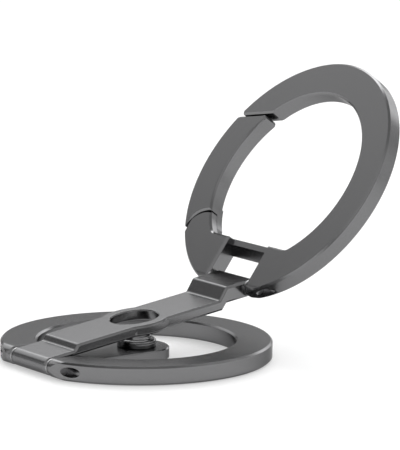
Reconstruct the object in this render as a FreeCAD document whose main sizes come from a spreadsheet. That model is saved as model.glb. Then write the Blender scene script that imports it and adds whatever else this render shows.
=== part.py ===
import FreeCAD, Part
import math
import os
import re
import Sketcher

# A folding phone stand: a magnetic ring on the table, a stepped arm and a tilted magnetic ring with a gate.
# Millimetres and degrees, +Z up. The origin is the centre of the lower ring, on the table.
# Each ring is drawn flat, rear face at z = 0, with its hinge on the -X side.
# The arm is drawn along +X from its lower hinge axis.

SIZES = {
    # Both rings
    "ring_outer_radius": 28.0,
    "ring_inner_radius": 20.4,
    "ring_thickness": 3.8,
    "ring_edge": 0.4,
    # Magnet channel, open on the rear face of each ring
    "channel_inner_wall": 1.2,
    "channel_outer_wall": 1.6,
    "channel_floor": 0.8,
    "magnet_thickness": 2.0,
    "magnet_play": 0.1,
    "magnet_spacing": 1.0,
    "pad_proud": 0.15,
    "pad_play": 0.05,
    "base_channel_span": 280.0,
    "ring_channel_span": 180.0,
    "ring_channel_middle": 312.0,
    # Hinges
    "base_hinge_inset": 3.1,
    "ring_hinge_inset": 2.7,
    "fold_gap": 0.1,
    "pin_radius": 1.0,
    "pin_play": 0.03,
    "pin_recess": 2.4,
    "washer_thickness": 0.45,
    "washer_radius": 1.7,
    "washer_play": 0.05,
    "slot_edge": 0.5,
    "arm_angle": 8.0,
    "ring_angle": 53.6,
    # Arm
    "arm_width": 12.4,
    "arm_edge": 0.42,
    "arm_thickness": 2.2,
    "barrel_radius": 1.85,
    "barrel_room": 0.3,
    "low_plate_length": 5.9,
    "step_angle": 49.5,
    "step_round": 0.65,
    "low_step_rise": 1.1,
    "high_step_back": 7.8,
    "high_step_rise": 2.45,
    "under_step_back": 7.3,
    "eye_radius": 7.5,
    "eye_hole_radius": 5.0,
    "eye_hole_edge": 0.25,
    # Tongue of the lower ring and its post
    "tongue_thickness": 2.2,
    "tongue_edge": 0.25,
    "post_radius": 4.0,
    "post_height": 1.7,
    "post_neck_radius": 3.0,
    "post_neck_height": 0.9,
    "post_shank_radius": 1.5,
    "post_edge": 0.35,
    # Lugs, crossbar and nose of the upper ring
    "lug_depth": 4.4,
    "lug_fillet": 2.5,
    "bar_recess": 1.3,
    "bar_width": 1.3,
    "bar_slope_run": 1.65,
    "lug_end_over": 1.65,
    "lug_relief_over": 0.9,
    "nose_share": 1.2314,
    "nose_angle": 11.3,
    "nose_round": 0.7,
    # Gate
    "gate_pivot_angle": 135.0,
    "gate_gap": 0.35,
    "gate_tip_round": 0.8,
    "gate_tongue_thickness": 1.7,
    "gate_tongue_overlap": 1.36,
    "gate_eye_inset": 0.1,
    "gate_eye_play": 0.4,
    "lap_play": 0.1,
    "gate_pin_radius": 1.0,
    "gate_pin_head_radius": 1.6,
    "gate_pin_head": 0.4,
    "gate_pin_cover": 0.75,
    # Gate spring
    "spring_wire_half": 0.175,
    "spring_radius": 1.7,
    "spring_pitch": 0.4,
    "spring_turns": 2.5,
    "spring_leg": 1.4,
    "spring_play": 0.1,
}

BASE_MAGNETS = 14
RING_MAGNETS = 9
GATE_BLANK_SPAN = 100  # degrees of ring that the gate is cut from
LUG_ARC_START = -40  # where the round end of the left lug begins
NOSE_SECTOR = (40, 75)  # where the nose's face stands round the ring
GATE_TIP_BEFORE = 80  # the gate's tip lies below this angle round the ring
BEYOND = 6.0  # how far a cutting sketch runs past the metal that it cuts

# Lengths worked out from the driving sizes
BASE_OFFSET = "(ring_outer_radius - base_hinge_inset)"
RING_OFFSET = "(ring_outer_radius - ring_hinge_inset)"
SLOT_HALF = "(arm_width / 2 + washer_thickness + 2 * washer_play)"
AXIS_RISE = "(ring_thickness / 2)"
ARM_LENGTH = f"({BASE_OFFSET} + {RING_OFFSET})"
FOLD_RISE = "(ring_thickness + fold_gap)"
BAND_MIDDLE = "((ring_inner_radius + ring_outer_radius) / 2)"
BAND_HALF = "((ring_outer_radius - ring_inner_radius) / 2)"
CHANNEL_INNER = "(ring_inner_radius + channel_inner_wall)"
CHANNEL_OUTER = "(ring_outer_radius - channel_outer_wall)"
CHANNEL_DEPTH = "(ring_thickness - channel_floor)"
MID_TOP = "(barrel_radius + low_step_rise)"
MID_UNDER = f"({MID_TOP} - arm_thickness)"
HIGH_TOP = f"({MID_TOP} + high_step_rise)"
HIGH_UNDER = f"({FOLD_RISE} - barrel_radius)"
STEP_TANGENT = "(step_round * tan(step_angle / 2))"
LOW_STEP_HEAD = "(low_plate_length + low_step_rise / tan(step_angle))"
HIGH_STEP_FOOT = f"({ARM_LENGTH} - high_step_back)"
HIGH_STEP_HEAD = f"({HIGH_STEP_FOOT} + high_step_rise / tan(step_angle))"
GATE_X = f"({BAND_MIDDLE} * cos(gate_pivot_angle))"
GATE_Y = f"({BAND_MIDDLE} * sin(gate_pivot_angle))"
LUG_REACH = "(ring_inner_radius - lug_depth)"
LUG_END = f"({BAND_HALF} + lug_end_over)"
LUG_RELIEF = f"({BAND_HALF} + lug_relief_over)"
NOSE_REACH = f"(nose_share * {BAND_MIDDLE})"
GATE_EYE = f"({BAND_HALF} - gate_eye_inset)"
GATE_TONGUE_CHORD = f"({LUG_END} + gate_gap + gate_tongue_overlap)"
GATE_TONGUE_SPAN = f"(2 * asin({GATE_TONGUE_CHORD} / (2 * {BAND_MIDDLE})) / 1 deg)"
LAP_RISE = "(gate_tongue_thickness + lap_play)"
SPRING_POCKET_RADIUS = "(spring_radius + spring_wire_half + 2 * spring_play)"
SPRING_HEIGHT = "(spring_pitch * spring_turns)"
SPRING_LOW = "(gate_pin_head + 3 * spring_play + 2 * spring_wire_half)"

# Where the second hinge axis stands, and where the upper ring's own origin goes from there
RING_AXIS_X = f"(-{BASE_OFFSET} + {ARM_LENGTH} * cos(arm_angle) - {FOLD_RISE} * sin(arm_angle))"
BASE_AXIS_Z = f"(pad_proud + {AXIS_RISE})"
RING_AXIS_Z = f"({BASE_AXIS_Z} + {ARM_LENGTH} * sin(arm_angle) + {FOLD_RISE} * cos(arm_angle))"
RING_X = f"({RING_AXIS_X} + {RING_OFFSET} * cos(ring_angle) + {AXIS_RISE} * sin(ring_angle))"
RING_Z = f"({RING_AXIS_Z} + {RING_OFFSET} * sin(ring_angle) - {AXIS_RISE} * cos(ring_angle))"

doc = FreeCAD.newDocument("phone_stand")
sheet = doc.addObject("Spreadsheet::Sheet", "Sizes")
for row, (alias, number) in enumerate(SIZES.items(), start=1):
    sheet.set(f"A{row}", alias)
    sheet.set(f"B{row}", str(number))
    sheet.setAlias(f"B{row}", alias)
doc.recompute()

nodes = []


def sized(text):
    """An expression in the sheet's names, made readable for the document."""
    return re.sub(r"[a-z]+(?:_[a-z]+)+", lambda word: "Sizes." + word.group(), str(text))


def value(text):
    """The number that an expression has now."""
    return float(sheet.evalExpression(sized(text)))


def bind(thing, **sizes):
    for name, text in sizes.items():
        thing.setExpression(name, sized(text))


def place(thing, x="0", y="0", z="0", turn=None):
    """Bind a place, and a turn about -Y that lifts the +X side."""
    if turn:
        thing.Placement = FreeCAD.Placement(FreeCAD.Vector(), FreeCAD.Rotation(FreeCAD.Vector(0, -1, 0), 10))
        thing.setExpression("Placement.Rotation.Angle", sized(turn))
    for axis, text in zip("xyz", (x, y, z)):
        thing.setExpression(f"Placement.Base.{axis}", sized(text))


def place_on_base(thing):
    place(thing, z="pad_proud")


def place_on_arm(thing):
    place(thing, x=f"-{BASE_OFFSET}", z=BASE_AXIS_Z, turn="arm_angle")


def place_on_ring(thing):
    place(thing, x=RING_X, z=RING_Z, turn="ring_angle")


def new_body(label):
    body = doc.addObject("PartDesign::Body", label)
    body.Label = label
    nodes.append(body)
    return body


def origin(body, role):
    return next(item for item in body.Origin.OriginFeatures if item.Role == role)


def new_sketch(body, plane, rise=None, angle=None):
    """A sketch on an origin plane, raised along its normal or turned about the body's Z axis."""
    sketch = body.newObject("Sketcher::SketchObject", body.Label + "_sketch")
    sketch.AttachmentSupport = [(origin(body, plane), "")]
    sketch.MapMode = "FlatFace"
    if rise:
        sketch.setExpression("AttachmentOffset.Base.z", sized(rise))
    if angle:
        about_z = FreeCAD.Rotation(FreeCAD.Vector(0, 1, 0), 10)
        sketch.AttachmentOffset = FreeCAD.Placement(FreeCAD.Vector(), about_z)
        sketch.setExpression("AttachmentOffset.Rotation.Angle", sized(angle))
    return sketch


def fix_point(sketch, geometry, end, x, y):
    for kind, text in (("DistanceX", x), ("DistanceY", y)):
        if abs(value(text)) < 1e-9:
            axis = -2 if kind == "DistanceX" else -1
            sketch.addConstraint(Sketcher.Constraint("PointOnObject", geometry, end, axis))
            continue
        name = f"{kind}_{geometry}_{end}"
        index = sketch.addConstraint(Sketcher.Constraint(kind, -1, 1, geometry, end, value(text)))
        sketch.renameConstraint(index, name)
        sketch.setExpression(f"Constraints.{name}", sized(text))


def fix_radius(sketch, geometry, radius):
    name = f"Radius_{geometry}"
    index = sketch.addConstraint(Sketcher.Constraint("Radius", geometry, value(radius)))
    sketch.renameConstraint(index, name)
    sketch.setExpression(f"Constraints.{name}", sized(radius))


def circle(sketch, radius, x="0", y="0"):
    centre = FreeCAD.Vector(value(x), value(y), 0)
    index = sketch.addGeometry(Part.Circle(centre, FreeCAD.Vector(0, 0, 1), value(radius)))
    if abs(value(x)) < 1e-9 and abs(value(y)) < 1e-9:
        sketch.addConstraint(Sketcher.Constraint("Coincident", index, 3, -1, 1))
    else:
        fix_point(sketch, index, 3, x, y)
    fix_radius(sketch, index, radius)


def outline(sketch, *corners):
    """A closed outline. A corner is (x, y), or (x, y, radius, via_x, via_y) where an arc leaves it."""
    points = [FreeCAD.Vector(value(corner[0]), value(corner[1]), 0) for corner in corners]
    for index, corner in enumerate(corners):
        start = points[index]
        end = points[(index + 1) % len(points)]
        if len(corner) == 2:
            sketch.addGeometry(Part.LineSegment(start, end))
            continue
        via = FreeCAD.Vector(value(corner[3]), value(corner[4]), 0)
        sketch.addGeometry(Part.Arc(start, via, end))
    starts = []
    ends = []
    for index, point in enumerate(points):
        turned = (sketch.getPoint(index, 1) - point).Length > 1e-6
        starts.append(2 if turned else 1)
        ends.append(1 if turned else 2)
    for index, corner in enumerate(corners):
        after = (index + 1) % len(corners)
        sketch.addConstraint(Sketcher.Constraint("Coincident", index, ends[index], after, starts[after]))
        fix_point(sketch, index, starts[index], corner[0], corner[1])
        if len(corner) > 2:
            fix_radius(sketch, index, corner[2])


def rectangle(sketch, x_low, y_low, x_high, y_high):
    outline(sketch, (x_low, y_low), (x_high, y_low), (x_high, y_high), (x_low, y_high))


def pad(sketch, length, both_ways=False):
    body = sketch.getParentGeoFeatureGroup()
    feature = body.newObject("PartDesign::Pad", body.Label + "_pad")
    feature.Profile = sketch
    feature.SideType = "Symmetric" if both_ways else "One side"
    bind(feature, Length=length)
    return feature


def pocket(sketch, length=None, upward=False):
    """Cut by a sketch: to a length, upward or downward, or right through both ways."""
    body = sketch.getParentGeoFeatureGroup()
    doc.recompute()
    before = body.Tip.Shape.Volume
    feature = body.newObject("PartDesign::Pocket", body.Label + "_pocket")
    feature.Profile = sketch
    if length is None:
        feature.Type = "ThroughAll"
        feature.SideType = "Symmetric"
    else:
        feature.Reversed = upward
        bind(feature, Length=length)
    doc.recompute()
    if not feature.Shape.Volume < before:
        raise RuntimeError(f"{feature.Label} cuts nothing")
    return feature


def slot_cut(sketch):
    """Cut by a side outline, over the width of the hinge slot."""
    feature = pocket(sketch)
    feature.Type = "Length"
    bind(feature, Length=f"2 * {SLOT_HALF}")
    return feature


def revolve(sketch, span="360", cut=False):
    """Turn a section about Z, evenly to both sides of the sketch."""
    body = sketch.getParentGeoFeatureGroup()
    kind = "Groove" if cut else "Revolution"
    feature = body.newObject(f"PartDesign::{kind}", f"{body.Label}_{kind.lower()}")
    feature.Profile = sketch
    feature.ReferenceAxis = (origin(body, "Z_Axis"), [""])
    feature.Midplane = True
    bind(feature, Angle=span)
    return feature


def dress(body, kind, size, chosen):
    """Chamfer or fillet the edges of the body so far that the test picks out."""
    doc.recompute()
    base = body.Tip
    names = [f"Edge{index}" for index, edge in enumerate(base.Shape.Edges, start=1) if chosen(edge)]
    feature = body.newObject(f"PartDesign::{kind}", f"{body.Label}_{kind.lower()}")
    feature.Base = (base, names)
    bind(feature, **{"Size" if kind == "Chamfer" else "Radius": size})
    doc.recompute()
    return feature


def samples(edge):
    first, last = edge.ParameterRange
    return [edge.valueAt(first + (last - first) * share) for share in (0.0, 0.3, 0.6, 1.0)]


def flat_at(edge, height):
    return all(abs(point.z - height) < 1e-4 for point in samples(edge))


def upright(edge):
    points = samples(edge)
    return all(abs(point.x - points[0].x) + abs(point.y - points[0].y) < 1e-4 for point in points)


def angle_of(edge):
    """Where an upright edge stands round the ring."""
    point = samples(edge)[0]
    return math.degrees(math.atan2(point.y, point.x))


def ring_section(sketch):
    """Section of a ring with its four edges broken."""
    low = "ring_inner_radius"
    high = "ring_outer_radius"
    outline(
        sketch,
        (f"{low} + ring_edge", "0"),
        (f"{high} - ring_edge", "0"),
        (high, "ring_edge"),
        (high, "ring_thickness - ring_edge"),
        (f"{high} - ring_edge", "ring_thickness"),
        (f"{low} + ring_edge", "ring_thickness"),
        (low, "ring_thickness - ring_edge"),
        (low, "ring_edge"),
    )


def round_knuckles(body, offset):
    """Round the ring's hinge side about the hinge axis, over the whole thickness."""
    axis = f"-{offset}"
    nose = f"-{offset} - {AXIS_RISE}"
    past = f"-ring_outer_radius - {BEYOND}"
    slant = f"{AXIS_RISE} * cos(45)"
    sketch = new_sketch(body, "XZ_Plane")
    outline(
        sketch,
        (axis, "ring_thickness", AXIS_RISE, f"{axis} - {slant}", f"{AXIS_RISE} + {slant}"),
        (nose, AXIS_RISE, AXIS_RISE, f"{axis} - {slant}", f"{AXIS_RISE} - {slant}"),
        (axis, "0"),
        (axis, f"-{BEYOND}"),
        (past, f"-{BEYOND}"),
        (past, f"ring_thickness + {BEYOND}"),
        (axis, f"ring_thickness + {BEYOND}"),
    )
    pocket(sketch)


def break_slot_edges(body, offset):
    """Break the front edges of the hinge slot, and on round the knuckles."""
    for side in ("1", "-1"):
        straight = new_sketch(body, "YZ_Plane")
        outline(
            straight,
            (f"{side} * ({SLOT_HALF} - slot_edge)", "ring_thickness - 2 * slot_edge"),
            (f"{side} * ({SLOT_HALF} + 2 * slot_edge)", "ring_thickness + slot_edge"),
            (f"{side} * ({SLOT_HALF} - slot_edge)", "ring_thickness + slot_edge"),
        )
        pocket(straight, offset)
        knuckle = new_sketch(body, "XY_Plane", rise=AXIS_RISE)
        knuckle.setExpression("AttachmentOffset.Base.x", sized(f"-{offset}"))
        outline(
            knuckle,
            (f"2 * slot_edge - {AXIS_RISE}", f"{side} * ({SLOT_HALF} - slot_edge)"),
            (f"-{AXIS_RISE} - slot_edge", f"{side} * ({SLOT_HALF} + 2 * slot_edge)"),
            (f"-{AXIS_RISE} - slot_edge", f"{side} * ({SLOT_HALF} - slot_edge)"),
        )
        groove = revolve(knuckle, "180", cut=True)
        groove.ReferenceAxis = (knuckle, ["V_Axis"])


def bore_hinge(body, x, z):
    sketch = new_sketch(body, "XZ_Plane")
    circle(sketch, "pin_radius + pin_play", x, z)
    pocket(sketch)


def cut_channel(body, span, middle=None):
    sketch = new_sketch(body, "XZ_Plane", angle=middle)
    rectangle(sketch, CHANNEL_INNER, f"-{BEYOND}", CHANNEL_OUTER, CHANNEL_DEPTH)
    revolve(sketch, span, cut=True)


def make_base_ring():
    body = new_body("base_ring")
    ring_section_sketch = new_sketch(body, "XZ_Plane")
    ring_section(ring_section_sketch)
    revolve(ring_section_sketch)
    round_knuckles(body, BASE_OFFSET)
    slot = new_sketch(body, "XY_Plane")
    rectangle(slot, f"-ring_outer_radius - {BEYOND}", f"-{SLOT_HALF}", "0", SLOT_HALF)
    pocket(slot)
    break_slot_edges(body, BASE_OFFSET)
    tongue = new_sketch(body, "XY_Plane")
    rectangle(tongue, f"-{BASE_OFFSET} + barrel_radius + barrel_room", f"-{SLOT_HALF}", "0", SLOT_HALF)
    pad(tongue, "tongue_thickness")
    tongue_end = new_sketch(body, "XY_Plane")
    circle(tongue_end, SLOT_HALF)
    pad(tongue_end, "tongue_thickness")
    dress(body, "Chamfer", "tongue_edge", tongue_rim)
    shank_hole = new_sketch(body, "XY_Plane")
    circle(shank_hole, "post_shank_radius")
    pocket(shank_hole)
    bore_hinge(body, f"-{BASE_OFFSET}", AXIS_RISE)
    cut_channel(body, "base_channel_span")
    place_on_base(body)


def tongue_rim(edge):
    """Whether an edge bounds the tongue's front face inside the ring."""
    reach = max(math.hypot(point.x, point.y) for point in samples(edge))
    return flat_at(edge, value("tongue_thickness")) and reach < value("ring_inner_radius") + 1e-3


def make_catch_post():
    body = new_body("catch_post")
    top = "tongue_thickness + post_height"
    neck_top = f"{top} + post_neck_height"
    sketch = new_sketch(body, "XZ_Plane")
    outline(
        sketch,
        ("0", "0"),
        ("post_shank_radius", "0"),
        ("post_shank_radius", "tongue_thickness"),
        ("post_radius", "tongue_thickness"),
        ("post_radius", f"{top} - post_edge"),
        ("post_radius - post_edge", top),
        ("post_neck_radius", top),
        ("post_neck_radius", f"{neck_top} - post_edge"),
        ("post_neck_radius - post_edge", neck_top),
        ("0", neck_top),
    )
    revolve(sketch)
    place_on_base(body)


def step_foot(x, y):
    """The hollow round at the foot of a step, as two corners of an outline."""
    middle_x = f"{x} - {STEP_TANGENT} + step_round * sin(step_angle / 2)"
    middle_y = f"{y} + step_round * (1 - cos(step_angle / 2))"
    return [
        (f"{x} - {STEP_TANGENT}", y, "step_round", middle_x, middle_y),
        (f"{x} + {STEP_TANGENT} * cos(step_angle)", f"{y} + {STEP_TANGENT} * sin(step_angle)"),
    ]


def step_head(x, y):
    """The round at the head of a step, as two corners of an outline."""
    low_x = f"{x} - {STEP_TANGENT} * cos(step_angle)"
    low_y = f"{y} - {STEP_TANGENT} * sin(step_angle)"
    middle_x = f"{x} + {STEP_TANGENT} - step_round * sin(step_angle / 2)"
    middle_y = f"{y} - step_round * (1 - cos(step_angle / 2))"
    return [
        (low_x, low_y, "step_round", middle_x, middle_y),
        (f"{x} + {STEP_TANGENT}", y),
    ]


def arm_outline(sketch):
    """Side outline of the arm: low barrel, low plate, step, long plate, step and high barrel."""
    low_end = f"sqrt(barrel_radius ^ 2 - {MID_UNDER} ^ 2)"
    high_end = f"{ARM_LENGTH} + sqrt(barrel_radius ^ 2 - ({HIGH_TOP} - {FOLD_RISE}) ^ 2)"
    outline(
        sketch,
        ("0", "barrel_radius"),
        *step_foot("low_plate_length", "barrel_radius"),
        *step_head(LOW_STEP_HEAD, MID_TOP),
        *step_foot(HIGH_STEP_FOOT, MID_TOP),
        *step_head(HIGH_STEP_HEAD, HIGH_TOP),
        (high_end, HIGH_TOP, "barrel_radius", f"{ARM_LENGTH} + barrel_radius", FOLD_RISE),
        (ARM_LENGTH, HIGH_UNDER),
        (f"{ARM_LENGTH} - under_step_back + {HIGH_UNDER} - {MID_UNDER}", HIGH_UNDER),
        (f"{ARM_LENGTH} - under_step_back", MID_UNDER),
        (low_end, MID_UNDER, "barrel_radius", "-barrel_radius", "0"),
    )


def make_hinge_arm():
    body = new_body("hinge_arm")
    middle = new_sketch(body, "XZ_Plane")
    arm_outline(middle)
    pad(middle, "arm_width - 2 * arm_edge", both_ways=True)
    for side in ("1", "-1"):
        edge = new_sketch(body, "XZ_Plane", rise=f"{side} * (arm_width / 2 - arm_edge)")
        arm_outline(edge)
        bevelled = pad(edge, "arm_edge")
        bevelled.TaperAngle = -45
        bevelled.Reversed = side == "-1"
    eye = new_sketch(body, "XZ_Plane")
    outline(
        eye,
        ("0", MID_UNDER),
        ("eye_radius - arm_edge", MID_UNDER),
        ("eye_radius", f"{MID_UNDER} + arm_edge"),
        ("eye_radius", f"{MID_TOP} - arm_edge"),
        ("eye_radius - arm_edge", MID_TOP),
        ("0", MID_TOP),
    )
    eye.setExpression("AttachmentOffset.Base.x", sized(BASE_OFFSET))
    disc = revolve(eye)
    disc.ReferenceAxis = (eye, ["V_Axis"])
    hole = new_sketch(body, "XY_Plane")
    circle(hole, "eye_hole_radius", BASE_OFFSET)
    pocket(hole)
    dress(body, "Chamfer", "eye_hole_edge", eye_hole_rim)
    bore_hinge(body, "0", "0")
    bore_hinge(body, ARM_LENGTH, FOLD_RISE)
    place_on_arm(body)


def eye_hole_rim(edge):
    return isinstance(edge.Curve, Part.Circle) and abs(edge.Curve.Radius - value("eye_hole_radius")) < 1e-6


def nose_point(distance, along):
    """A point at a distance from the gate's pivot towards the nose, then along the nose's face."""
    x = f"({GATE_X} + ({distance}) * cos(nose_angle) - ({along}) * sin(nose_angle))"
    y = f"({GATE_Y} + ({distance}) * sin(nose_angle) + ({along}) * cos(nose_angle))"
    return x, y


def lug_point(along, outward):
    """A point from the gate's pivot, along the band towards the nose and outward."""
    x = f"({GATE_X} + ({along}) * sin(gate_pivot_angle) + ({outward}) * cos(gate_pivot_angle))"
    y = f"({GATE_Y} - ({along}) * cos(gate_pivot_angle) + ({outward}) * sin(gate_pivot_angle))"
    return x, y


def make_carabiner_ring():
    body = new_body("carabiner_ring")
    plan = new_sketch(body, "XY_Plane")
    circle(plan, "ring_outer_radius")
    circle(plan, "ring_inner_radius")
    pad(plan, "ring_thickness")
    add_lug_root(body)
    cut_gate_gap(body)
    dress(body, "Fillet", "nose_round", nose_corner)
    heights = (0, value("ring_thickness"))
    dress(body, "Chamfer", "ring_edge", lambda edge: any(flat_at(edge, height) for height in heights))
    round_knuckles(body, RING_OFFSET)
    cut_window(body)
    break_slot_edges(body, RING_OFFSET)
    bore_hinge(body, f"-{RING_OFFSET}", AXIS_RISE)
    cut_channel(body, "ring_channel_span", "ring_channel_middle")
    cut_gate_lap(body)
    place_on_ring(body)


def add_lug_root(body):
    """Fill the ring's inside at the hinge up to a straight edge, with hollow corners to the round."""
    centre_x = f"({LUG_REACH} - lug_fillet)"
    centre_r = "(ring_inner_radius - lug_fillet)"
    centre_y = f"sqrt({centre_r} ^ 2 - {centre_x} ^ 2)"
    round_x = f"({centre_x} * ring_inner_radius / {centre_r})"
    round_y = f"({centre_y} * ring_inner_radius / {centre_r})"
    via_x = f"({centre_x} + lug_fillet * cos(25))"
    via_y = f"({centre_y} + lug_fillet * sin(25))"
    root_x = f"sqrt({BAND_MIDDLE} ^ 2 - {centre_y} ^ 2)"
    sketch = new_sketch(body, "XY_Plane")
    outline(
        sketch,
        (f"-{round_x}", f"-{round_y}", "lug_fillet", f"-{via_x}", f"-{via_y}"),
        (f"-{LUG_REACH}", f"-{centre_y}"),
        (f"-{LUG_REACH}", centre_y, "lug_fillet", f"-{via_x}", via_y),
        (f"-{round_x}", round_y),
        (f"-{root_x}", centre_y, BAND_MIDDLE, f"-{BAND_MIDDLE}", "0"),
        (f"-{root_x}", f"-{centre_y}"),
    )
    pad(sketch, "ring_thickness")


def cut_gate_gap(body):
    """Open the ring from the nose's face to the round end of the left lug."""
    relief = f"{GATE_Y} + {LUG_RELIEF}"
    start_x = f"{GATE_X} + {LUG_END} * cos({LUG_ARC_START})"
    start_y = f"{GATE_Y} + {LUG_END} * sin({LUG_ARC_START})"
    end_x = f"{GATE_X} + sqrt({LUG_END} ^ 2 - {LUG_RELIEF} ^ 2)"
    sketch = new_sketch(body, "XY_Plane")
    outline(
        sketch,
        nose_point(NOSE_REACH, BEYOND),
        nose_point(NOSE_REACH, -2 * BEYOND),
        (start_x, start_y, LUG_END, f"{GATE_X} + {LUG_END}", GATE_Y),
        (end_x, relief),
        (f"{GATE_X} - {BEYOND}", relief),
        (f"{GATE_X} - {BEYOND}", f"{relief} + 2 * {BEYOND}"),
    )
    pocket(sketch)


def nose_corner(edge):
    low, high = NOSE_SECTOR
    return upright(edge) and low < angle_of(edge) < high


def cut_window(body):
    """Open the slot between the lugs as far as the crossbar, which is low in front and sloped behind."""
    bar_front = f"-{LUG_REACH} - bar_width"
    bar_rear = f"{bar_front} - bar_slope_run"
    bar_rise = "ring_thickness - bar_recess"
    past = f"-ring_outer_radius - {BEYOND}"
    above = f"ring_thickness + {BEYOND}"
    sketch = new_sketch(body, "XZ_Plane")
    outline(
        sketch,
        (past, f"-{BEYOND}"),
        (bar_rear, f"-{BEYOND}"),
        (bar_rear, "0"),
        (bar_front, bar_rise),
        (f"-{LUG_REACH} + {BEYOND}", bar_rise),
        (f"-{LUG_REACH} + {BEYOND}", above),
        (past, above),
    )
    slot_cut(sketch)


def cut_gate_lap(body):
    """Halve the left lug from behind for the gate's tongue, and bore it for the pin and the spring."""
    room = new_sketch(body, "XY_Plane")
    circle(room, f"{GATE_EYE} + gate_eye_play", GATE_X, GATE_Y)
    pocket(room, LAP_RISE, upward=True)
    mouth = new_sketch(body, "XY_Plane")
    outline(
        mouth,
        lug_point("0", f"-{BEYOND}"),
        lug_point(BEYOND, f"-{BEYOND}"),
        lug_point(BEYOND, BEYOND),
        lug_point("0", BEYOND),
    )
    pocket(mouth, LAP_RISE, upward=True)
    pin_hole = new_sketch(body, "XY_Plane")
    circle(pin_hole, "gate_pin_radius + pin_play", GATE_X, GATE_Y)
    pocket(pin_hole, "ring_thickness - gate_pin_cover", upward=True)
    spring_top = f"{SPRING_LOW} + {SPRING_HEIGHT} + spring_wire_half + spring_play"
    spring_room = new_sketch(body, "XY_Plane")
    circle(spring_room, SPRING_POCKET_RADIUS, GATE_X, GATE_Y)
    pocket(spring_room, spring_top, upward=True)
    leg_slot(body, spring_top, towards="-1")


def leg_slot(body, depth, towards, rise=None):
    """Slot for a leg of the spring, along the band from the gate's pivot."""
    reach = f"{towards} * (spring_radius + spring_leg + 2 * spring_play)"
    half = "(spring_wire_half + spring_play)"
    sketch = new_sketch(body, "XY_Plane", rise=rise)
    outline(
        sketch,
        lug_point("0", f"-{half}"),
        lug_point(reach, f"-{half}"),
        lug_point(reach, half),
        lug_point("0", half),
    )
    pocket(sketch, depth, upward=True)


def make_gate():
    body = new_body("gate")
    blank = new_sketch(body, "XZ_Plane", angle=f"gate_pivot_angle - {GATE_BLANK_SPAN} / 2")
    rectangle(blank, "ring_inner_radius", "0", "ring_outer_radius", "ring_thickness")
    revolve(blank, GATE_BLANK_SPAN)
    heel = new_sketch(body, "XY_Plane")
    circle(heel, f"{LUG_END} + gate_gap", GATE_X, GATE_Y)
    pocket(heel)
    tip_reach = f"{NOSE_REACH} - gate_gap"
    tip = new_sketch(body, "XY_Plane")
    outline(
        tip,
        nose_point(tip_reach, -4 * BEYOND),
        nose_point(f"{tip_reach} + 4 * {BEYOND}", -4 * BEYOND),
        nose_point(f"{tip_reach} + 4 * {BEYOND}", 2 * BEYOND),
        nose_point(tip_reach, 2 * BEYOND),
    )
    pocket(tip)
    dress(body, "Fillet", "gate_tip_round", gate_tip_corner)
    heel_radius = value(f"{LUG_END} + gate_gap")
    pivot = FreeCAD.Vector(value(GATE_X), value(GATE_Y), 0)

    def outer_edge(edge):
        flat = [FreeCAD.Vector(point.x, point.y, 0) for point in samples(edge)]
        on_heel = all(abs(point.distanceToPoint(pivot) - heel_radius) < 1e-3 for point in flat)
        return not on_heel and (flat_at(edge, value("ring_thickness")) or flat_at(edge, 0))

    dress(body, "Chamfer", "ring_edge", outer_edge)
    break_heel_edge(body)
    add_gate_tongue(body)
    place_on_ring(body)


def gate_tip_corner(edge):
    return upright(edge) and angle_of(edge) < GATE_TIP_BEFORE


def break_heel_edge(body):
    """Break the gate's front edge along its hollow heel, as a groove about the pivot."""
    heel = f"({LUG_END} + gate_gap)"
    sketch = new_sketch(body, "XZ_Plane", rise=f"-{GATE_Y}")
    sketch.setExpression("AttachmentOffset.Base.x", sized(GATE_X))
    outline(
        sketch,
        (f"{heel} - ring_edge", "ring_thickness - 2 * ring_edge"),
        (f"{heel} + 2 * ring_edge", "ring_thickness + ring_edge"),
        (f"{heel} - ring_edge", "ring_thickness + ring_edge"),
    )
    groove = revolve(sketch, cut=True)
    groove.ReferenceAxis = (sketch, ["V_Axis"])


def add_gate_tongue(body):
    """Rear half of the gate's lap: band, round eye, pin hole and spring pocket."""
    root = new_sketch(body, "XZ_Plane", angle=f"gate_pivot_angle - {GATE_TONGUE_SPAN} / 2")
    rectangle(root, "ring_inner_radius", "0", "ring_outer_radius", "gate_tongue_thickness")
    revolve(root, GATE_TONGUE_SPAN)
    eye = new_sketch(body, "XY_Plane")
    circle(eye, GATE_EYE, GATE_X, GATE_Y)
    pad(eye, "gate_tongue_thickness")
    pin_hole = new_sketch(body, "XY_Plane")
    circle(pin_hole, "gate_pin_radius + pin_play", GATE_X, GATE_Y)
    pocket(pin_hole)
    head_seat = new_sketch(body, "XY_Plane")
    circle(head_seat, "gate_pin_head_radius + spring_play", GATE_X, GATE_Y)
    pocket(head_seat, "gate_pin_head + pin_play", upward=True)
    spring_floor = f"{SPRING_LOW} - spring_wire_half - spring_play"
    spring_room = new_sketch(body, "XY_Plane", rise=spring_floor)
    circle(spring_room, SPRING_POCKET_RADIUS, GATE_X, GATE_Y)
    pocket(spring_room, "gate_tongue_thickness", upward=True)
    leg_slot(body, "gate_tongue_thickness", towards="1", rise=spring_floor)


def make_gate_pin():
    body = new_body("gate_pin")
    sketch = new_sketch(body, "XY_Plane")
    circle(sketch, "gate_pin_head_radius", GATE_X, GATE_Y)
    pad(sketch, "gate_pin_head")
    shank = new_sketch(body, "XY_Plane")
    circle(shank, "gate_pin_radius", GATE_X, GATE_Y)
    pad(shank, "ring_thickness - gate_pin_cover - pin_play")
    place_on_ring(body)


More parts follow.
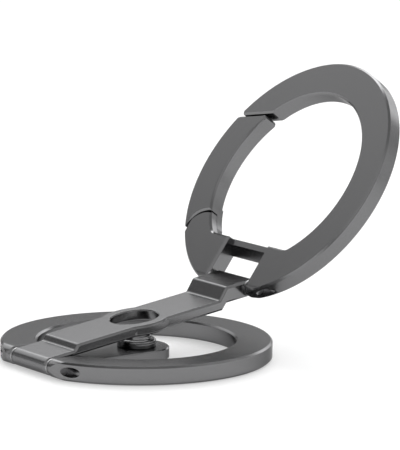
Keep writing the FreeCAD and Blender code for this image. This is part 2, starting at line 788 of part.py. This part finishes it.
def make_gate_spring():
    """Torsion spring of square wire round the gate's pin, with a leg in the gate and a leg in the lug."""
    wire = value("spring_wire_half")
    radius = value("spring_radius")
    height = value(SPRING_HEIGHT)
    axis = FreeCAD.Vector(0, 0, 1)
    out = FreeCAD.Vector(1, 0, 0)
    path = Part.Wire(Part.makeHelix(value("spring_pitch"), height, radius).Edges)
    corners = [(radius + wire * x, wire * z) for x, z in ((-1, -1), (1, -1), (1, 1), (-1, 1), (-1, -1))]
    section = Part.makePolygon([FreeCAD.Vector(x, 0, z) for x, z in corners])
    coil = path.makePipeShell([section], True, True)
    leg = radius - wire
    length = value("spring_leg") + wire
    low_leg = Part.makeBox(length, 2 * wire, 2 * wire, FreeCAD.Vector(leg, -wire, -wire))
    high_leg = Part.makeBox(length, 2 * wire, 2 * wire, FreeCAD.Vector(-leg - length, -wire, height - wire))
    coil_and_legs = coil.fuse([low_leg, high_leg]).Solids[0]
    along = FreeCAD.Rotation(axis, value("gate_pivot_angle") - 90)
    pivot = FreeCAD.Vector(value(GATE_X), value(GATE_Y), value(SPRING_LOW))
    spring = doc.addObject("Part::Feature", "gate_spring")
    spring.Label = "gate_spring"
    spring.Shape = coil_and_legs.transformed(FreeCAD.Placement(pivot, along).toMatrix(), copy=True)
    nodes.append(spring)
    place_on_ring(spring)


def make_hinge_pin(label, x, z, offset):
    """A pin that ends in the bores, short of the ring's outside."""
    half = f"(sqrt(ring_outer_radius ^ 2 - {offset} ^ 2) - pin_recess)"
    body = new_body(label)
    sketch = new_sketch(body, "XZ_Plane")
    circle(sketch, "pin_radius")
    pad(sketch, f"2 * {half}", both_ways=True)
    place(body, x=x, z=z)


def make_washer(label, x, z, side):
    body = new_body(label)
    sketch = new_sketch(body, "XZ_Plane")
    circle(sketch, "washer_radius")
    circle(sketch, "pin_radius + pin_play")
    pad(sketch, "washer_thickness", both_ways=True)
    place(body, x=x, y=f"{side} * (arm_width / 2 + washer_play + washer_thickness / 2)", z=z)


def make_magnet(label, middle, span, placing):
    body = new_body(label)
    sketch = new_sketch(body, "XZ_Plane", angle=middle)
    low = f"{CHANNEL_DEPTH} - magnet_thickness"
    rectangle(sketch, f"{CHANNEL_INNER} + magnet_play", low, f"{CHANNEL_OUTER} - magnet_play", CHANNEL_DEPTH)
    revolve(sketch, f"{span} - magnet_spacing")
    placing(body)


def make_magnets(prefix, count, span, middle, placing):
    """A row of magnets that share a channel evenly."""
    for index in range(count):
        share = (index + 0.5) / count
        angle = f"360 + {middle} - {span} / 2 + {span} * {share}"
        make_magnet(f"{prefix}_{index + 1:02d}", angle, f"{span} / {count}", placing)


def make_pad(label, span, middle, placing):
    body = new_body(label)
    sketch = new_sketch(body, "XZ_Plane", angle=middle)
    top = f"{CHANNEL_DEPTH} - magnet_thickness"
    rectangle(sketch, f"{CHANNEL_INNER} + pad_play", "-pad_proud", f"{CHANNEL_OUTER} - pad_play", top)
    revolve(sketch, f"{span} - pad_play")
    placing(body)


def check_document():
    for item in doc.Objects:
        if "Invalid" in item.State or "Error" in item.State:
            raise RuntimeError(f"{item.Label} failed: {item.State}")
    for node in nodes:
        if node.Shape.isNull() or not node.Shape.isValid() or len(node.Shape.Solids) != 1:
            raise RuntimeError(f"{node.Label} is not one valid solid")


make_base_ring()
make_pad("base_pad", "base_channel_span", None, place_on_base)
make_magnets("base_magnet", BASE_MAGNETS, "base_channel_span", "0", place_on_base)
make_catch_post()
make_hinge_pin("base_hinge_pin", f"-{BASE_OFFSET}", BASE_AXIS_Z, BASE_OFFSET)
make_washer("base_washer_left", f"-{BASE_OFFSET}", BASE_AXIS_Z, "1")
make_washer("base_washer_right", f"-{BASE_OFFSET}", BASE_AXIS_Z, "-1")
make_hinge_arm()
make_carabiner_ring()
make_pad("ring_pad", "ring_channel_span", "ring_channel_middle", place_on_ring)
make_magnets("ring_magnet", RING_MAGNETS, "ring_channel_span", "ring_channel_middle", place_on_ring)
make_hinge_pin("ring_hinge_pin", RING_AXIS_X, RING_AXIS_Z, RING_OFFSET)
make_washer("ring_washer_left", RING_AXIS_X, RING_AXIS_Z, "1")
make_washer("ring_washer_right", RING_AXIS_X, RING_AXIS_Z, "-1")
make_gate()
make_gate_pin()
make_gate_spring()

doc.recompute()
check_document()
os.makedirs("parts", exist_ok=True)
for node in nodes:
    node.Shape.exportStep(f"parts/{node.Label}.step")
    print(f"{node.Label}: {node.Shape.Volume:.1f} mm3")
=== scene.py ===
from math import cos, radians, sin

import bmesh
import bpy
from mathutils import Matrix, Quaternion, Vector


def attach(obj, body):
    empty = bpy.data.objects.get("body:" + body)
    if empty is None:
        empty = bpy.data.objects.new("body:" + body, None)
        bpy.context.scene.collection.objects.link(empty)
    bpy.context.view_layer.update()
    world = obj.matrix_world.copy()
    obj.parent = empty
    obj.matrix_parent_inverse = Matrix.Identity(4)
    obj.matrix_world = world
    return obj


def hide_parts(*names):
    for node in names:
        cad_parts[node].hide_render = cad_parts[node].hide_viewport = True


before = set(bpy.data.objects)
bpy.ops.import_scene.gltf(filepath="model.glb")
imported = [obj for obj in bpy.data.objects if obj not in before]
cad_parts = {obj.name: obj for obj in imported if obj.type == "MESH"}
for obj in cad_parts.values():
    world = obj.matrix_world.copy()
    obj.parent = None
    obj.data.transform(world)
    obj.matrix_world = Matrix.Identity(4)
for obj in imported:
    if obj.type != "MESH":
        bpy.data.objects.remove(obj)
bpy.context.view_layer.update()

MM = 0.001

# Finishes

# Most of a noise texture lies between these two values.
GRAIN_LOW = 0.3
GRAIN_HIGH = 0.7
GRAIN_DETAIL = 3.0


def new_finish(name):
    finish = bpy.data.materials.new(name)
    finish.use_nodes = True
    return finish, finish.node_tree.nodes, finish.node_tree.links


def grain(nodes, links, scale):
    """Fine cloudy noise on the piece's own coordinates."""
    place = nodes.new("ShaderNodeTexCoord")
    noise = nodes.new("ShaderNodeTexNoise")
    noise.inputs["Scale"].default_value = scale
    noise.inputs["Detail"].default_value = GRAIN_DETAIL
    links.new(place.outputs["Object"], noise.inputs["Vector"])
    return noise


def spread(nodes, links, source, low, high):
    """The noise, spread between two values."""
    ramp = nodes.new("ShaderNodeMapRange")
    ramp.inputs["From Min"].default_value = GRAIN_LOW
    ramp.inputs["From Max"].default_value = GRAIN_HIGH
    ramp.inputs["To Min"].default_value = low
    ramp.inputs["To Max"].default_value = high
    links.new(source.outputs["Fac"], ramp.inputs["Value"])
    return ramp.outputs["Result"]


def tinted(nodes, links, source, dark, light):
    """The noise, as a colour between two near shades."""
    ramp = nodes.new("ShaderNodeValToRGB")
    ramp.color_ramp.elements[0].position = GRAIN_LOW
    ramp.color_ramp.elements[0].color = (*dark, 1)
    ramp.color_ramp.elements[1].position = GRAIN_HIGH
    ramp.color_ramp.elements[1].color = (*light, 1)
    links.new(source.outputs["Fac"], ramp.inputs["Fac"])
    return ramp.outputs["Color"]


def metal_finish(name, dark, light, rough_low, rough_high, grain_scale):
    """Satin or polished metal, faintly uneven in shade and gloss."""
    finish, nodes, links = new_finish(name)
    skin = nodes["Principled BSDF"]
    skin.inputs["Metallic"].default_value = 1.0
    skin.inputs["Specular Tint"].default_value = (0.45, 0.45, 0.45, 1)
    cloud = grain(nodes, links, grain_scale)
    links.new(tinted(nodes, links, cloud, dark, light), skin.inputs["Base Color"])
    links.new(spread(nodes, links, cloud, rough_low, rough_high), skin.inputs["Roughness"])
    return finish


def soft_pad_finish():
    finish, nodes, links = new_finish("soft_pad")
    skin = nodes["Principled BSDF"]
    cloud = grain(nodes, links, 900.0)
    shade = tinted(nodes, links, cloud, (0.045, 0.045, 0.050), (0.055, 0.055, 0.060))
    links.new(shade, skin.inputs["Base Color"])
    links.new(spread(nodes, links, cloud, 0.6, 0.75), skin.inputs["Roughness"])
    return finish


gunmetal = metal_finish("gunmetal_satin", (0.183, 0.183, 0.186), (0.197, 0.197, 0.200), 0.20, 0.23, 2600.0)
post_metal = metal_finish("post_polish", (0.24, 0.24, 0.243), (0.26, 0.26, 0.263), 0.20, 0.24, 2000.0)
pin_steel = metal_finish("pin_steel", (0.43, 0.43, 0.44), (0.47, 0.47, 0.48), 0.3, 0.4, 3000.0)
washer_steel = metal_finish("washer_steel", (0.34, 0.34, 0.345), (0.38, 0.38, 0.385), 0.25, 0.32, 3000.0)
magnet_nickel = metal_finish("magnet_nickel", (0.60, 0.58, 0.54), (0.64, 0.62, 0.58), 0.2, 0.3, 1500.0)
soft_pad = soft_pad_finish()

# Metal pieces with rounded edges

EDGE_ROUND = 0.12 * MM
EDGE_ANGLE = 0.44  # sharper bends than this, in radians, get the round
SEAM = 0.002 * MM  # corners nearer than this are one
FLAT_ANGLE = 0.008  # flatter bends than this, in radians, are one face


def coat(piece, finish):
    piece.data.materials.clear()
    piece.data.materials.append(finish)


def softened(node, body, finish):
    """The CAD piece as one smooth skin with a small round on every sharp edge."""
    skin = bmesh.new()
    skin.from_mesh(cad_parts[node].data)
    bmesh.ops.remove_doubles(skin, verts=skin.verts, dist=SEAM)
    bmesh.ops.dissolve_limit(skin, angle_limit=FLAT_ANGLE, verts=skin.verts, edges=skin.edges)
    mesh = bpy.data.meshes.new(node + "_finished")
    skin.to_mesh(mesh)
    skin.free()
    for face in mesh.polygons:
        face.use_smooth = True
    piece = bpy.data.objects.new(node + "_finished", mesh)
    bpy.context.scene.collection.objects.link(piece)
    rounding = piece.modifiers.new("edge_round", "BEVEL")
    rounding.width = EDGE_ROUND
    rounding.segments = 2
    rounding.limit_method = "ANGLE"
    rounding.angle_limit = EDGE_ANGLE
    evening = piece.modifiers.new("even_shading", "WEIGHTED_NORMAL")
    evening.weight = 100
    evening.keep_sharp = True
    coat(piece, finish)
    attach(piece, body)
    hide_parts(node)


softened("base_ring", "base", gunmetal)
softened("hinge_arm", "arm", gunmetal)
softened("carabiner_ring", "ring", gunmetal)
softened("gate", "gate", gunmetal)
softened("catch_post", "base", post_metal)

for node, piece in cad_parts.items():
    if "magnet" in node:
        coat(piece, magnet_nickel)
    elif node.endswith("_pad"):
        coat(piece, soft_pad)
    elif "washer" in node:
        coat(piece, washer_steel)
    elif node.endswith("_pin") or node == "gate_spring":
        coat(piece, pin_steel)
    else:
        coat(piece, post_metal if node == "catch_post" else gunmetal)

# Floor

FLOOR_RADIUS = 3.0
FLOOR_RIM = 0.3  # low wall that a level view shows behind the object
PAPER_SHADE = (0.6, 0.6, 0.6, 1)  # the part of the white that the object's shadow darkens
PAPER_GLOW = (0.42, 0.42, 0.42, 1)  # the part that stays


def paper_floor():
    """White paper: shaded by the object, and white for the camera and in the metal's reflections."""
    paper, nodes, links = new_finish("white_paper")
    nodes.remove(nodes["Principled BSDF"])
    matt = nodes.new("ShaderNodeBsdfDiffuse")
    matt.inputs["Color"].default_value = PAPER_SHADE
    glow = nodes.new("ShaderNodeEmission")
    glow.inputs["Color"].default_value = PAPER_GLOW
    seen = nodes.new("ShaderNodeLightPath")
    mirrored = nodes.new("ShaderNodeMath")
    mirrored.operation = "MAXIMUM"
    links.new(seen.outputs["Is Glossy Ray"], mirrored.inputs[0])
    links.new(seen.outputs["Is Transmission Ray"], mirrored.inputs[1])
    shown = nodes.new("ShaderNodeMath")
    shown.operation = "MAXIMUM"
    links.new(seen.outputs["Is Camera Ray"], shown.inputs[0])
    links.new(mirrored.outputs["Value"], shown.inputs[1])
    links.new(shown.outputs["Value"], glow.inputs["Strength"])
    both = nodes.new("ShaderNodeAddShader")
    links.new(matt.outputs["BSDF"], both.inputs[0])
    links.new(glow.outputs["Emission"], both.inputs[1])
    links.new(both.outputs["Shader"], nodes["Material Output"].inputs["Surface"])
    sheet = bmesh.new()
    bmesh.ops.create_circle(sheet, cap_ends=True, radius=FLOOR_RADIUS, segments=96)
    rim = [edge for edge in sheet.edges if edge.is_boundary]
    raised = bmesh.ops.extrude_edge_only(sheet, edges=rim)["geom"]
    corners = [part for part in raised if isinstance(part, bmesh.types.BMVert)]
    bmesh.ops.translate(sheet, verts=corners, vec=(0, 0, FLOOR_RIM))
    mesh = bpy.data.meshes.new("paper_floor")
    sheet.to_mesh(mesh)
    sheet.free()
    floor = bpy.data.objects.new("paper_floor", mesh)
    bpy.context.scene.collection.objects.link(floor)
    floor.data.materials.append(paper)


paper_floor()

# Light

ROOM_LEVEL = 0.1
# Panels of the room: azimuth, elevation, angle where the glow ends, angle where it is full, strength.
# The camera stands at azimuth -126.
PANELS = [
    (55, 42, 22, 8, 4.6),  # key soft box, high behind the object
    (60, 36, 33, 10, 1.2),  # the wall round it
    (90, 22, 24, 6, 1.5),  # left end of that wall, beyond which the steps show the dark
    (110, 40, 14, 5, 0.75),  # patch that the upper ring's front shows
    (28, 14, 26, 8, 3.0),  # soft box behind on the right
    (5, 30, 24, 8, 0.8),  # wall above it
    (-45, 25, 45, 15, 0.9),  # fill from the front right
    (-125, 35, 45, 15, 0.7),  # fill from above the camera
    (170, 20, 40, 12, 0.6),  # fill from the left
    (138, 18, 20, 6, 0.8),  # low patch on the far side of that fill
    (0, 82, 45, 15, 0.35),  # ceiling
]
LAMP_PLACE = Vector((0.1, 0.1, 0.7))
LAMP_AIM = Vector((0.01, 0, 0.01))
LAMP_SIZE = 0.7
LAMP_POWER = 1.0


def toward(azimuth, elevation):
    """The direction at an azimuth and an elevation in degrees."""
    level = cos(radians(elevation))
    return Vector((level * cos(radians(azimuth)), level * sin(radians(azimuth)), sin(radians(elevation))))


def studio_room():
    """A soft room of light and dark panels, the same for the camera and for the metal."""
    world = bpy.data.worlds.new("studio_room")
    world.use_nodes = True
    nodes = world.node_tree.nodes
    links = world.node_tree.links
    room = nodes["Background"]
    room.inputs["Color"].default_value = (1, 1, 1, 1)
    place = nodes.new("ShaderNodeTexCoord")

    def panel(azimuth, elevation, end, full):
        """A round patch in a direction: full within one angle of it, and faded out at another."""
        dot = nodes.new("ShaderNodeVectorMath")
        dot.operation = "DOT_PRODUCT"
        dot.inputs[1].default_value = toward(azimuth, elevation)
        links.new(place.outputs["Generated"], dot.inputs[0])
        fade = nodes.new("ShaderNodeMapRange")
        fade.interpolation_type = "SMOOTHSTEP"
        fade.inputs["From Min"].default_value = cos(radians(end))
        fade.inputs["From Max"].default_value = cos(radians(full))
        links.new(dot.outputs["Value"], fade.inputs["Value"])
        return fade.outputs["Result"]

    def added(source, strength, total):
        step = nodes.new("ShaderNodeMath")
        step.operation = "MULTIPLY_ADD"
        step.inputs[1].default_value = strength
        links.new(source, step.inputs[0])
        if total is None:
            step.inputs[2].default_value = ROOM_LEVEL
        else:
            links.new(total, step.inputs[2])
        return step.outputs["Value"]

    total = None
    for azimuth, elevation, end, full, strength in PANELS:
        total = added(panel(azimuth, elevation, end, full), strength, total)
    links.new(total, room.inputs["Strength"])
    bpy.context.scene.world = world


studio_room()


def key_lamp():
    """Soft lamp that shades the floor and isn't mirrored by the metal."""
    lamp = bpy.data.lights.new("key_lamp", "AREA")
    lamp.shape = "DISK"
    lamp.size = LAMP_SIZE
    lamp.energy = LAMP_POWER
    holder = bpy.data.objects.new("key_lamp", lamp)
    bpy.context.scene.collection.objects.link(holder)
    holder.location = LAMP_PLACE
    holder.rotation_euler = (LAMP_AIM - LAMP_PLACE).to_track_quat("-Z", "Y").to_euler()
    holder.visible_glossy = False


key_lamp()

# Camera

CAMERA_LENS = 280.0
CAMERA_SENSOR = 36.0
CAMERA_AIM = Vector((0.01538, -0.00068, 0.02614))
CAMERA_AZIMUTH = -125.93
CAMERA_ELEVATION = 10.11
CAMERA_DISTANCE = 0.7246
CAMERA_ROLL = 0.48


def photo_camera():
    camera = bpy.data.cameras.new("photo_camera")
    camera.sensor_width = CAMERA_SENSOR
    camera.lens = CAMERA_LENS
    camera.clip_start = 0.01
    camera.clip_end = 20.0
    holder = bpy.data.objects.new("photo_camera", camera)
    bpy.context.scene.collection.objects.link(holder)
    back = toward(CAMERA_AZIMUTH, CAMERA_ELEVATION)
    turn = back.to_track_quat("Z", "Y") @ Quaternion((0, 0, 1), radians(CAMERA_ROLL))
    holder.matrix_world = Matrix.LocRotScale(CAMERA_AIM + CAMERA_DISTANCE * back, turn, None)
    bpy.context.scene.camera = holder


photo_camera()

bpy.context.scene.view_settings.view_transform = "Standard"
